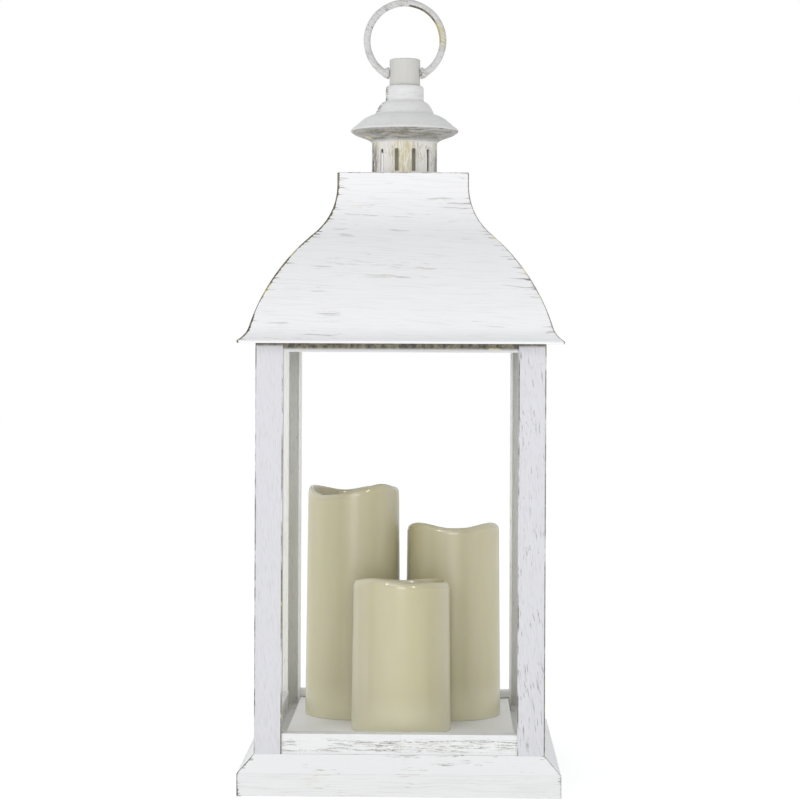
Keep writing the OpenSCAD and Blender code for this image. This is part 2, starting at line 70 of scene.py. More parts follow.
# Strength of the studio's ambient light from each direction
WORLD_BACK = 0.85
WORLD_FRONT = 0.52
WORLD_LEFT = 1.16
WORLD_RIGHT = 0.80

FLOOR_SIZE = 8.0
FLOOR_GLOW = 0.36

# Radius in mm of the tiny hole that a turned end closes over
POLE_R = 0.02


# ---------------------------------------------------------------- node helpers

class Shader:
    """A material's node tree, with short calls for the nodes used here."""

    def __init__(self, name):
        self.material = bpy.data.materials.new(name)
        self.material.use_nodes = True
        self.tree = self.material.node_tree
        self.tree.nodes.clear()
        self.output = self.tree.nodes.new("ShaderNodeOutputMaterial")
        self.bsdf = self.tree.nodes.new("ShaderNodeBsdfPrincipled")
        self.link(self.bsdf.outputs[0], self.output.inputs["Surface"])
        self.coords = self.tree.nodes.new("ShaderNodeTexCoord").outputs["Object"]

    def link(self, source, target):
        self.tree.links.new(source, target)

    def set(self, socket, value):
        if isinstance(value, bpy.types.NodeSocket):
            self.link(value, socket)
        else:
            socket.default_value = value

    def constants(self, **values):
        for name, value in values.items():
            self.bsdf.inputs[name.replace("_", " ")].default_value = value

    def mapping(self, scale=(1, 1, 1), rotation=(0, 0, 0), location=(0, 0, 0), source=None):
        node = self.tree.nodes.new("ShaderNodeMapping")
        node.inputs["Scale"].default_value = scale
        node.inputs["Rotation"].default_value = rotation
        node.inputs["Location"].default_value = location
        self.link(source or self.coords, node.inputs["Vector"])
        return node.outputs[0]

    def noise(self, vector, scale=1.0, detail=2.0, roughness=0.5):
        node = self.tree.nodes.new("ShaderNodeTexNoise")
        self.link(vector, node.inputs["Vector"])
        node.inputs["Scale"].default_value = scale
        node.inputs["Detail"].default_value = detail
        node.inputs["Roughness"].default_value = roughness
        return node.outputs["Fac"]

    def math(self, operation, a, b=0.0):
        node = self.tree.nodes.new("ShaderNodeMath")
        node.operation = operation
        self.set(node.inputs[0], a)
        self.set(node.inputs[1], b)
        return node.outputs[0]

    def band(self, value, low, high, out_low=0.0, out_high=1.0):
        """A smooth step of value from low to high."""
        node = self.tree.nodes.new("ShaderNodeMapRange")
        node.interpolation_type = "SMOOTHSTEP"
        self.set(node.inputs["Value"], value)
        self.set(node.inputs["From Min"], low)
        self.set(node.inputs["From Max"], high)
        node.inputs["To Min"].default_value = out_low
        node.inputs["To Max"].default_value = out_high
        return node.outputs[0]

    def mix(self, factor, a, b):
        node = self.tree.nodes.new("ShaderNodeMix")
        node.data_type = "RGBA"
        self.set(node.inputs["Factor"], factor)
        self.set(node.inputs["A"], a)
        self.set(node.inputs["B"], b)
        return node.outputs["Result"]

    def split(self, vector):
        node = self.tree.nodes.new("ShaderNodeSeparateXYZ")
        self.link(vector, node.inputs[0])
        return node.outputs

    def height(self):
        return self.split(self.coords)[2]

    def attribute(self, name):
        node = self.tree.nodes.new("ShaderNodeAttribute")
        node.attribute_name = name
        return node.outputs["Fac"]

    def bump(self, height, strength, distance):
        node = self.tree.nodes.new("ShaderNodeBump")
        node.inputs["Strength"].default_value = strength
        node.inputs["Distance"].default_value = distance
        self.link(height, node.inputs["Height"])
        self.link(node.outputs[0], self.bsdf.inputs["Normal"])


def linear(r, g, b):
    """A colour given in 0 to 255 display values, as the linear value that a shader takes."""
    def one(v):
        v /= 255.0
        return v / 12.92 if v <= 0.04045 else ((v + 0.055) / 1.055) ** 2.4

    return (one(r), one(g), one(b), 1.0)


def lowest(node):
    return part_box(node)[0].z


def highest(node):
    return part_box(node)[1].z


# ------------------------------------------------------------------- materials

PAINT = linear(243, 243, 243)
# Painted light: the whiter paint on the plinth's bevel and top, for the light that falls there
PAINT_LIT = linear(245, 245, 245)
PAINT_THIN = linear(216, 215, 212)
BRONZE_DARK = linear(64, 60, 48)
BRONZE = linear(132, 124, 102)
GOLD = linear(216, 204, 136)
# Painted light: the lighter, yellower colour near a candle's foot, for light bounced up from the deck
CANDLE_BOUNCE_LIGHT = linear(222, 217, 188)

GREY_PAINT = (0.85, 0.85, 0.85)
POST_PAINT = (0.74, 0.735, 0.77)

# Heights in metres where the paint or its wear changes, or where painted shade or painted light begins
PLINTH_BEVEL = 0.0195
ABOVE_PLINTH = 0.05
BELOW_ROOF_TOP = highest("roof_shell") - 0.0007
LINTEL_EAVE_SHADE = lowest("top_rail_front") + 0.0013
POST_EAVE_SHADE = lowest("top_rail_front") + 0.004
CAP_UNDERSIDE_SHADE = (lowest("cap") - 0.0005, lowest("cap") + 0.0114)
CANDLE_BOUNCE_FADE = (0.050, 0.085)
RING_GILT = (0.662, 0.694)


def scaled(colour, tint):
    return tuple(c * t for c, t in zip(colour[:3], tint)) + (1.0,)


def rub_hips(s, strokes, reach, wide, top):
    """Wear along the hips and corners of a square body, where |x| equals |y|, below its top."""
    x, y, z = s.split(s.coords)
    left, right = -0.01, 0.01
    away = s.math("ABSOLUTE", s.math("SUBTRACT", s.math("ABSOLUTE", x), s.math("ABSOLUTE", y)))
    side = s.math("MULTIPLY", s.band(x, left, right, 1.0, 0.8), s.math("LESS_THAN", z, top))
    width = s.band(x, left, right, wide, wide * 0.5)
    patchy = s.noise(s.mapping((30, 30, 30), location=(2, 4, 1)), 1.0, 3.0, 0.6)

    # The rubbed line itself, then short ticks of base coat beside it
    ragged = s.math("MULTIPLY", width, s.band(strokes, 0.3, 0.7, 0.7, 1.3))
    line = s.math("LESS_THAN", away, s.math("MULTIPLY", ragged, s.band(patchy, 0.28, 0.56, 0.35, 1.0)))
    near = s.band(away, 0.001, reach, 0.11, 0.0)
    ticks = s.band(s.math("ADD", strokes, s.math("MULTIPLY", near, s.band(patchy, 0.34, 0.60))), 0.64, 0.70)
    ticks = s.math("MULTIPLY", ticks, s.band(away, reach * 0.5, reach, 1.0, 0.0))
    return s.math("MULTIPLY", s.math("MAXIMUM", line, ticks), side)


def rub_uprights(s):
    """Wear along the upright edges of the corner posts."""
    x, y, _ = s.split(s.coords)
    low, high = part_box("post_front_right")
    middle, half_width = (low.x + high.x) / 2, (high.x - low.x) / 2
    across = [
        s.math("ABSOLUTE", s.math("SUBTRACT", s.math("ABSOLUTE", value), middle)) for value in (x, y)
    ]
    edge = s.band(s.math("MINIMUM", *across), half_width - 1.2 * MM, half_width - 0.6 * MM)
    ragged = s.noise(s.mapping((60, 60, 22), location=(1, 6, 3)), 1.0, 4.0, 0.65)
    return s.math("MULTIPLY", edge, s.band(ragged, 0.40, 0.56))


def brushed_space(s, tilt):
    """Object coordinates, leaning by tilt degrees and a little warped, so that strokes wander."""
    warp = s.noise(s.mapping((26, 26, 26)), 1.0, 2.0)
    bend = s.tree.nodes.new("ShaderNodeVectorMath")
    bend.operation = "MULTIPLY_ADD"
    s.link(warp, bend.inputs[0])
    bend.inputs[1].default_value = (0.006, 0.006, 0.006)
    s.link(s.mapping(rotation=(0, math.radians(tilt), 0)), bend.inputs[2])
    return bend.outputs[0]


def fine_cracks(s, vector, scales, open_noise, amount):
    """Thin broken lines, where a long noise crosses its middle value."""
    stretched = s.mapping(tuple(v * 0.42 for v in scales), location=(9, 4, 2), source=vector)
    vein = s.noise(stretched, 1.0, 5.0, 0.7)
    thin = s.band(s.math("ABSOLUTE", s.math("SUBTRACT", vein, 0.5)), 0.004, 0.016, 1.0, 0.0)
    open_here = s.band(open_noise, 0.46 - 0.22 * amount, 0.60 - 0.22 * amount)
    return s.math("MULTIPLY", thin, open_here)


def whitewash(name, brush, streaks=0.5, length=26.0, depth=0.7, spread=0.0, cracks=0.0, tilt=0.0,
              grain=0.5, gold=0.2, tint=(1, 1, 1), hips=None, uprights=False, painted_eave_shadow=None,
              painted_hollow_shadow=None, gilt=None, outline_shade=None, keep=None, painted_light_from=None):
    """White paint dry-brushed over a bronze and gold base coat.

    brush is the direction of the strokes: x (level on upright faces), z (upright) or deck.
    streaks is how much base coat shows through in short lines, length how many lines fit in
    a metre end to end, depth how bare they are, spread how evenly they lie instead of in
    patches, cracks the amount of fine broken lines, tilt the strokes' lean in degrees, grain
    the strength of the brush marks, gold the share of gold in the base coat, tint the
    paint's own tone, hips the reach, width and top of the wear along hips, painted_eave_shadow
    a height over which painted shade, the bare dark base coat, stands for the shadow under an
    eave, painted_hollow_shadow the heights between which painted shade, base coat broken by the
    strokes, darkens a hood's hollow underside, gilt a function that gives the mask of a rubbed,
    gilded part, outline_shade one for painted shade along a turned part's left and right
    outlines, shown as base coat broken by the strokes, keep one for where strokes may show, and
    painted_light_from a height over which painted light makes the paint whiter, for the light
    that falls on an upper face.
    """
    s = Shader(name)
    across = 760.0
    scales = {
        "x": (length, length, across),
        "z": (across, across, length),
        "deck": (length, across, length),
    }[brush]
    vector = brushed_space(s, tilt)

    # Long strokes, finer brush marks, the patches where paint is thin, and a grit
    strokes = s.noise(s.mapping(scales, location=(3.1, 7.7, 1.3), source=vector), 1.0, 4.0, 0.62)
    fine = s.noise(s.mapping(tuple(v * 1.4 for v in scales), source=vector), 1.0, 3.0, 0.6)
    patches = s.noise(s.mapping((17, 17, 30), location=(0.7, 0.2, 5.5)), 1.0, 3.0, 0.6)
    rubbed = s.noise(s.mapping((260, 260, 260)), 1.0, 4.0, 0.7)
    worn = s.attribute(WORN)

    # Strokes show where they are deep, and more so in some patches
    gate = s.band(patches, 0.42 - 0.3 * spread, 0.62 - 0.3 * spread)
    level = s.math("SUBTRACT", 0.735, s.math("MULTIPLY", gate, 0.125 * streaks))
    bare = s.band(strokes, level, s.math("ADD", level, 0.06), 0.0, depth)
    if cracks:
        lines = fine_cracks(s, vector, scales, s.math("MULTIPLY", gate, fine), cracks)
        bare = s.math("MAXIMUM", bare, lines)
    if keep:
        bare = s.math("MULTIPLY", bare, keep(s))

    # Edges lose their paint in broken lengths
    bare = s.math("MAXIMUM", bare, s.band(s.math("ADD", worn, rubbed), 1.27, 1.47))
    if hips:
        bare = s.math("MAXIMUM", bare, rub_hips(s, strokes, *hips))
    if uprights:
        bare = s.math("MAXIMUM", bare, rub_uprights(s))
    # Painted shade along a turned part's outlines, shown as base coat broken by the strokes
    if outline_shade:
        bare = s.math("MAXIMUM", bare, s.math("MULTIPLY", outline_shade(s), s.band(strokes, 0.42, 0.50, 0.0, 0.95)))
    # Painted shade: above this height the dark base coat stands for the shadow under the roof's eave
    if painted_eave_shadow:
        bare = s.math("MAXIMUM", bare, s.band(s.height(), painted_eave_shadow, painted_eave_shadow + 3 * MM))
    # Painted shade: the hood's hollow underside is darkened with base coat broken by the strokes
    if painted_hollow_shadow:
        low, high = painted_hollow_shadow
        height = s.height()
        hollow = s.math("MULTIPLY", s.band(height, low, low + 4 * MM), s.math("LESS_THAN", height, high))
        hollow_shade = s.math("MULTIPLY", hollow, s.band(strokes, 0.25, 0.70, 0.36, 0.9))
        bare = s.math("MAXIMUM", bare, hollow_shade)

    gold_spots = s.noise(s.mapping((38, 38, 38), location=(5, 2, 9)), 1.0, 2.0)
    gold_here = s.band(gold_spots, 0.66 - 0.34 * gold, 0.72)
    if gilt:
        mask = gilt(s)
        gold_here = s.math("MAXIMUM", gold_here, mask)
        bare = s.math("MAXIMUM", bare, s.math("MULTIPLY", mask, s.band(strokes, 0.40, 0.60, 0.15, 0.9)))
    base = s.mix(s.band(rubbed, 0.35, 0.65), BRONZE_DARK, BRONZE)
    base = s.mix(s.math("MULTIPLY", gold_here, 0.85), base, GOLD)
    coat = s.mix(
        s.math("MULTIPLY", s.band(fine, 0.46, 0.74), grain),
        scaled(PAINT, tint), scaled(PAINT_THIN, tint),
    )
    # Painted light: above this height the paint turns whiter, for the light on an upper face
    if painted_light_from:
        coat = s.mix(s.band(s.height(), painted_light_from, painted_light_from + MM), coat, PAINT_LIT)
    s.link(s.mix(bare, coat, base), s.bsdf.inputs["Base Color"])
    s.link(s.band(bare, 0.0, 1.0, 0.52, 0.38), s.bsdf.inputs["Roughness"])
    s.constants(Specular_IOR_Level=0.4)
    relief = s.math("SUBTRACT", s.math("MULTIPLY", fine, 0.4), bare)
    s.bump(relief, 0.3, 0.0002)
    return s.material


def rail_face(s):
    """The middle height of the bottom rails, where the brush dragged."""
    z = s.height()
    low, high = lowest("bottom_rail_front") + 1.3 * MM, highest("bottom_rail_front") - 3.5 * MM
    return s.math("MULTIPLY", s.band(z, low, low + 2 * MM), s.band(z, high - 2 * MM, high, 1.0, 0.0))


def ring_gilt(s):
    """The rubbed length on one side of the ring."""
    x, _, z = s.split(s.coords)
    low, high = RING_GILT
    ends = s.math("MULTIPLY", s.band(z, low, low + 6 * MM), s.band(z, high - 6 * MM, high, 1.0, 0.0))
    return s.math("MULTIPLY", s.band(x, 0.026, 0.030, 0.0, 0.7), ends)


def vent_gilt(s):
    """The middle of the chimney's front and back, where the gold shows."""
    x, _, _ = s.split(s.coords)
    return s.band(s.math("ABSOLUTE", x), 0.005, 0.017, 0.8, 0.0)


def round_share(s):
    """How far to the right or left a point of a turned piece lies, from -1 to 1."""
    x, y, _ = s.split(s.coords)
    squares = s.math("ADD", s.math("MULTIPLY", x, x), s.math("MULTIPLY", y, y))
    return s.math("DIVIDE", x, s.math("SQRT", squares))


def vent_outline_shade(s):
    """Painted shade along the chimney's left and right outlines, as seen from the front."""
    share = round_share(s)
    return s.math("MAXIMUM", s.band(share, -0.92, -0.70, 1.0, 0.0), s.band(share, 0.84, 0.97, 0.0, 0.7))


def cap_outline_shade(s):
    """Painted shade down the left outline of the cap's bell and shoulder, as seen from the front."""
    bell = s.band(s.height(), lowest("cap") + 25 * MM, lowest("cap") + 28 * MM)
    return s.math("MULTIPLY", s.band(round_share(s), -0.98, -0.80, 1.0, 0.0), bell)


def candle_plastic(name, colour, shade, roughness, coat=0.0):
    """Ivory moulding that lets a little light in, like wax, with gloss where WORN marks it, and painted
    bounce light near the foot.
    """
    s = Shader(name)
    mottle = s.noise(s.mapping((30, 30, 5)), 1.0, 3.0, 0.5)
    bloom = s.noise(s.mapping((90, 90, 60)), 1.0, 3.0, 0.55)
    tone = s.mix(s.band(mottle, 0.3, 0.7), colour, shade)
    # Painted light: the lower part turns lighter and yellower, for light bounced up from the deck
    foot = s.band(s.height(), *CANDLE_BOUNCE_FADE, 0.8, 0.0)
    s.link(s.mix(foot, tone, CANDLE_BOUNCE_LIGHT), s.bsdf.inputs["Base Color"])
    s.link(s.band(bloom, 0.25, 0.75, roughness - 0.04, roughness + 0.06), s.bsdf.inputs["Roughness"])
    s.constants(Subsurface_Weight=0.4, Subsurface_Scale=0.006, Coat_Roughness=0.08, Coat_IOR=1.8)
    s.link(s.band(s.attribute(WORN), 0.0, 1.0, coat, 1.0), s.bsdf.inputs["Coat Weight"])
    s.bsdf.inputs["Subsurface Radius"].default_value = (1.0, 0.85, 0.45)
    s.bump(s.math("ADD", s.math("MULTIPLY", bloom, 0.15), mottle), 0.12, 0.0012)
    return s.material


def moulded(name, colour, roughness, metallic=0.0, grain=500.0, depth=0.0001, coat=0.0):
    """Plain moulded, plated or painted stock with a fine texture of its own."""
    s = Shader(name)
    noise = s.noise(s.mapping((grain, grain, grain)), 1.0, 3.0, 0.6)
    darker = tuple(v * 0.72 for v in colour[:3]) + (1.0,)
    s.link(s.mix(s.band(noise, 0.3, 0.75), colour, darker), s.bsdf.inputs["Base Color"])
    s.link(s.band(noise, 0.2, 0.8, roughness - 0.06, roughness + 0.1), s.bsdf.inputs["Roughness"])
    s.constants(Metallic=metallic, Coat_Weight=coat)
    s.bump(noise, 0.3, depth)
    return s.material


MATERIALS = {
    # Painted light: the plinth's bevel and top are painted whiter than its faces
    "body": whitewash("whitewash_level", "x", streaks=1.0, length=18.0, depth=0.42, cracks=0.15,
                      tint=GREY_PAINT, hips=(0.005, 0.0012, ABOVE_PLINTH), painted_light_from=PLINTH_BEVEL),
    "plain": whitewash("whitewash_plain", "x", streaks=0.6, depth=0.4, tint=GREY_PAINT),
    "roof": whitewash("whitewash_roof", "x", streaks=1.3, length=21.0, depth=0.38, tilt=-2.5, grain=0.35,
                      tint=(0.93, 0.925, 0.935), hips=(0.014, 0.0022, BELOW_ROOF_TOP)),
    "rail": whitewash("whitewash_rail", "x", streaks=1.1, length=30.0, depth=0.75, spread=0.5, cracks=0.9,
                      tint=(0.91, 0.91, 0.91), keep=rail_face),
    # Painted shade: the lintels and the posts are dark at the top, for the shadow under the eave
    "lintel": whitewash("whitewash_lintel", "x", streaks=0.8, tint=(0.82, 0.82, 0.83), gold=0.0,
                        painted_eave_shadow=LINTEL_EAVE_SHADE),
    "post": whitewash("whitewash_upright", "z", streaks=0.7, length=60.0, depth=0.4, tilt=4.0, gold=0.0,
                      tint=POST_PAINT, uprights=True, painted_eave_shadow=POST_EAVE_SHADE),
    "post_worn": whitewash("whitewash_upright_worn", "z", streaks=1.15, length=60.0, depth=0.5, spread=0.3,
                           tilt=5.0, gold=0.0, tint=POST_PAINT, uprights=True, painted_eave_shadow=POST_EAVE_SHADE),
    # Painted light: the back posts' paint is brighter than the front posts', for the light inside the
    # lantern
    "post_back": whitewash("whitewash_upright_lit_back", "z", streaks=1.0, length=60.0, depth=0.4, tilt=4.0,
                           gold=0.0, tint=(1.06, 1.06, 1.03), uprights=True, painted_eave_shadow=POST_EAVE_SHADE),
    "deck": whitewash("whitewash_deck", "deck", streaks=0.3, tint=(1.02, 1.02, 1.02), grain=0.3),
    # Painted shade darkens the cap's hollow underside and runs down its left outline
    "cap": whitewash("whitewash_cap", "x", streaks=0.9, length=60.0, depth=0.6, tint=(0.83, 0.825, 0.82),
                     gold=0.1, painted_hollow_shadow=CAP_UNDERSIDE_SHADE, outline_shade=cap_outline_shade),
    # Painted shade runs down the chimney's left and right outlines
    "vent": whitewash("whitewash_vent", "z", streaks=1.1, length=90.0, cracks=0.4, tint=(0.94, 0.91, 0.86),
                      gold=0.5, gilt=vent_gilt, outline_shade=vent_outline_shade),
    "core": whitewash("whitewash_core", "z", streaks=0.0, grain=0.2, tint=(1.08, 1.03, 0.86)),
    "neck": whitewash("whitewash_neck", "z", streaks=0.2, tint=(0.66, 0.65, 0.62), grain=0.2),
    "ring": whitewash("whitewash_ring", "x", streaks=1.0, length=60.0, depth=0.4, spread=0.3, cracks=0.2,
                      tilt=-30.0, tint=(0.68, 0.675, 0.67), gold=0.1, gilt=ring_gilt),
    "candle": candle_plastic("candle_ivory", linear(202, 195, 168), linear(196, 190, 155), 0.34, 0.1),
    "insert": candle_plastic("insert_ivory", linear(206, 200, 168), linear(198, 192, 156), 0.42),
    "led": moulded("led_milky", linear(232, 224, 192), 0.14, coat=0.6),
    "dark": moulded("black_moulding", linear(38, 38, 39), 0.5),
    "rubber": moulded("pad_rubber", linear(52, 51, 50), 0.8),
    "steel": moulded("zinc_plate", linear(186, 188, 192), 0.32, metallic=1.0, grain=260.0),
    "board": moulded("board_green", linear(36, 104, 62), 0.35, coat=0.3),
    "cell": moulded("cell_sleeve", linear(34, 34, 36), 0.3, metallic=0.2, grain=900.0, depth=0.00004,
                    coat=0.4),
    "lead": moulded("lead_red", linear(170, 38, 32), 0.4),
}


# -------------------------------------------------------------- mesh functions

def emit(bm, name, body, material, node, smooth=50.0):
    """Turns a bmesh into a piece that rides on a body and stands for a CAD node."""
    bmesh.ops.recalc_face_normals(bm, faces=bm.faces)
    mesh = bpy.data.meshes.new(name)
    bm.to_mesh(mesh)
    bm.free()
    for polygon in mesh.polygons:
        polygon.use_smooth = True
    mesh.set_sharp_from_angle(angle=math.radians(smooth))
    mesh.materials.append(MATERIALS[material])
    piece = bpy.data.objects.new(name, mesh)
    bpy.context.scene.collection.objects.link(piece)
    normals = piece.modifiers.new("normals", "WEIGHTED_NORMAL")
    normals.keep_sharp = True
    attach(piece, body)
    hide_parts(node)
    return piece


def body_of(node):
    return NODES[node]["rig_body"]


def worn_layer(bm):
    return bm.verts.layers.float.get(WORN) or bm.verts.layers.float.new(WORN)


def refined(node, material, bevel, segments=2):
    """A CAD node's own shape with its flats merged and its edges rounded and marked as worn."""
    sharp, flat = math.radians(28.0), math.radians(0.5)
    bm = bmesh.new()
    bm.from_mesh(NODES[node].data)
    bmesh.ops.remove_doubles(bm, verts=bm.verts, dist=0.002 * MM)
    bmesh.ops.dissolve_limit(
        bm, angle_limit=flat, verts=bm.verts, edges=bm.edges, delimit={"NORMAL"}
    )
    edges = [e for e in bm.edges if len(e.link_faces) == 2 and e.calc_face_angle(0.0) > sharp]
    made = bmesh.ops.bevel(
        bm, geom=edges, offset=bevel * MM, offset_type="OFFSET", segments=segments,
        profile=0.5, affect="EDGES", clamp_overlap=True,
    )
    layer = worn_layer(bm)
    bevels = set(made["faces"])
    for v in bm.verts:
        if v.link_faces and all(f in bevels for f in v.link_faces):
            v[layer] = BEVEL_WEAR
    emit(bm, node + "_skin", body_of(node), material, node)


def arc(cx, cz, r, a0, a1, steps):
    """Points of a circular arc, angles in degrees."""
    return [
        (cx + r * math.cos(math.radians(a0 + (a1 - a0) * i / steps)),
         cz + r * math.sin(math.radians(a0 + (a1 - a0) * i / steps)))
        for i in range(steps + 1)
    ]


def square_ring(bm, half, z, corner, flats, corner_wear, edge_wear):
    """One level of a square body, sizes in mm, with rounded corners whose middles are worn."""
    layer = worn_layer(bm)
    straight = half - corner
    ring = []
    corner_steps = 4
    for quarter in range(4):
        turn = Matrix.Rotation(math.radians(90 * quarter), 3, "Z")
        for i in range(flats):
            y = straight * (2 * i / flats - 1)
            v = bm.verts.new(turn @ Vector((half, y, z)) * MM)
            v[layer] = edge_wear
            ring.append(v)
        for i in range(corner_steps):
            a = math.radians(90 * i / corner_steps)
            place = Vector((straight + corner * math.cos(a), straight + corner * math.sin(a), z))
            v = bm.verts.new(turn @ place * MM)
            v[layer] = max(edge_wear, corner_wear * math.sin(2 * a))
            ring.append(v)
    return ring


def bridge(bm, ring_a, ring_b):
    count = len(ring_a)
    for i in range(count):
        j = (i + 1) % count
        bm.faces.new((ring_a[i], ring_a[j], ring_b[j], ring_b[i]))


def bridge_all(bm, rings):
    for ring_a, ring_b in zip(rings, rings[1:]):
        bridge(bm, ring_a, ring_b)


def turned(outline, steps, closed=True):
    """A solid of revolution from (radius, height, worn edge) rows in mm."""
    bm = bmesh.new()
    layer = worn_layer(bm)
    rings = []
    for r, z, wear in outline:
        ring = []
        for k in range(steps):
            a = 2 * math.pi * k / steps
            v = bm.verts.new((r * MM * math.cos(a), r * MM * math.sin(a), z * MM))
            v[layer] = wear
            ring.append(v)
        rings.append(ring)
    bridge_all(bm, rings)
    if closed:
        bridge(bm, rings[-1], rings[0])
    return bm, rings


def cut(piece, cutter):
    """Takes a cutter out of a piece and applies the result."""
    modifier = piece.modifiers.new("cut", "BOOLEAN")
    modifier.object = cutter
    modifier.operation = "DIFFERENCE"
    modifier.solver = "EXACT"
    normals = piece.modifiers["normals"]
    normals.show_viewport = False
    graph = bpy.context.evaluated_depsgraph_get()
    result = bpy.data.meshes.new_from_object(piece.evaluated_get(graph))
    piece.modifiers.remove(modifier)
    normals.show_viewport = True
    old = piece.data
    piece.data = result
    result.name = piece.name
    bpy.data.meshes.remove(old)
    bpy.data.objects.remove(cutter)


# ------------------------------------------------------------------ the pieces

def box_mm(node):
    low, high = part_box(node)
    return low / MM, high / MM


def roof():
    """Ogee roof: flare, long convex arc, hollow arc, neck and flat top plate."""
    low, high = box_mm("roof_shell")
    wall, neck_half, edge_h = 2.4, 59.3, 2.5
    arc_r, arc_reach, arc_z = 184.3, 163.6, 353.2
    fillet_r, flare_r, flare_end = 60.0, 20.0, 62.0
    corner_out, corner_in, flats = 1.1, 0.6, 24
    edge = low.z + edge_h
    arc_x = neck_half + fillet_r - arc_reach
    flare_a = math.degrees(math.asin(
        (edge - arc_z + flare_r * math.sin(math.radians(flare_end))) / (arc_r + flare_r)))
    flare_x = arc_x + (arc_r + flare_r) * math.cos(math.radians(flare_a))
    flare_z = arc_z + (arc_r + flare_r) * math.sin(math.radians(flare_a))
    fillet_x = neck_half + fillet_r
    fillet_a = math.degrees(math.acos((fillet_x - arc_x) / (arc_r + fillet_r)))
    fillet_z = arc_z + (arc_r + fillet_r) * math.sin(math.radians(fillet_a))

    def side(t):
        return (
            arc(flare_x, flare_z, flare_r + t, 180 + flare_end, 180 + flare_a, 8)
            + arc(arc_x, arc_z, arc_r - t, flare_a, fillet_a, 28)[1:]
            + arc(fillet_x, fillet_z, fillet_r + t, 180 + fillet_a, 180, 14)[1:]
        )

    outer, inner = side(0.0), side(wall)
    rim_half = outer[0][0]
    rim = [
        (rim_half - 0.8, low.z, 0), (rim_half - 0.2, low.z + 0.2, 0.3), (rim_half, low.z + 0.8, 0),
        (rim_half, edge - 0.7, 0), (rim_half - 0.15, edge - 0.15, 0.3),
    ]
    top = [
        (neck_half, high.z - 1.3, 0), (neck_half, high.z - 0.8, 0.8),
        (neck_half - 0.3, high.z - 0.3, 0.9), (neck_half - 0.9, high.z, 0),
    ]
    bm = bmesh.new()
    outer_rings = [
        square_ring(bm, half, z, corner_out, flats, 1.0, wear)
        for half, z, wear in rim + [(r, z, 0) for r, z in outer[1:]] + top
    ]
    inner_rings = [
        square_ring(bm, half, z, corner_in, flats, 0.0, 0.0)
        for half, z in [(rim_half - 1.1, low.z)] + inner[1:] + [(neck_half - wall, high.z - wall)]
    ]
    for rings in (outer_rings, inner_rings):
        bridge_all(bm, rings)
        bm.faces.new(rings[-1])
    bridge(bm, outer_rings[0], inner_rings[0])
    emit(bm, "roof_skin", "lantern", "roof", "roof_shell", smooth=40)


def chimney():
    """Vent tube with its ring of round-topped slots."""
    low, high = box_mm("vent_chimney")
    r, wall = high.x, 1.6
    outline = [
        (r, low.z, 0.0), (r, low.z + 2, 0.0), (r, (low.z + high.z) / 2, 0.0), (r, high.z, 0.0),
        (r - wall, high.z, 0.0), (r - wall, low.z, 0.0),
    ]
    bm, _ = turned(outline, 180)
    piece = emit(bm, "chimney_skin", "lantern", "vent", "vent_chimney", smooth=35)
    slots, slot_w, slot_low, slot_high, slot_turn = 12, 3.8, 550.0, 570.8, 2.4
    cut_from, cut_to = 20, 36
    slot = [(-slot_w / 2, slot_low), (slot_w / 2, slot_low)]
    slot += arc(0, slot_high - slot_w / 2, slot_w / 2, 0, 180, 10)
    cutter = bmesh.new()
    for k in range(slots):
        turn = Matrix.Rotation(math.radians(360 / slots * (k + 0.5) + slot_turn), 4, "Z")
        near, far = [
            [cutter.verts.new(turn @ Vector((reach * MM, x * MM, z * MM))) for x, z in slot]
            for reach in (cut_from, cut_to)
        ]
        cutter.faces.new(near)
        cutter.faces.new(far)
        bridge(cutter, near, far)
    bmesh.ops.recalc_face_normals(cutter, faces=cutter.faces)
    mesh = bpy.data.meshes.new("slots")
    cutter.to_mesh(mesh)
    cutter.free()
    tool = bpy.data.objects.new("slots", mesh)
    bpy.context.scene.collection.objects.link(tool)
    cut(piece, tool)


def bell_cap():
    """Flared underside, thin brim, dome, stepped bell and shoulder."""
    low, high = box_mm("cap")
    foot, brim = 30.1, high.x
    outline = [
        (foot, low.z, 0.0), (31.0, 578.4, 0), (33.2, 580.1, 0), (36.6, 581.7, 0), (41.0, 583.2, 0),
        (45.6, 584.9, 0), (49.0, 587.2, 0), (brim - 0.1, 588.3, 0), (brim - 0.2, 589.5, 0),
        (48.9, 590.6, 0), (45.2, 593.3, 0), (41.6, 596.4, 0), (38.4, 599.2, 0), (34.6, 601.5, 0),
        (30.6, 603.2, 0), (27.9, 604.1, 0.1), (27.2, 604.7, 0.7), (26.7, 605.7, 0.3), (25.7, 608.0, 0),
        (24.4, 610.6, 0), (22.6, 613.1, 0), (20.4, 615.0, 0), (18.6, 615.9, 0), (17.8, 616.6, 0.4),
        (17.6, 617.6, 0.1), (17.6, 622, 0), (17.6, 627.2, 0), (17.3, 628.9, 0), (16.4, 630.2, 0.6),
        (15.0, high.z, 1.0), (2.5, high.z, 0), (2.5, 626, 0), (14.4, 626, 0), (15.2, 614, 0),
        (20.6, 609, 0), (24, 602, 0), (31, 598, 0), (37, 592, 0), (37, 588, 0), (27.7, 581, 0),
        (27.7, low.z, 0),
    ]
    bm, _ = turned(outline, 144)
    emit(bm, "cap_skin", "lantern", "cap", "cap", smooth=40)


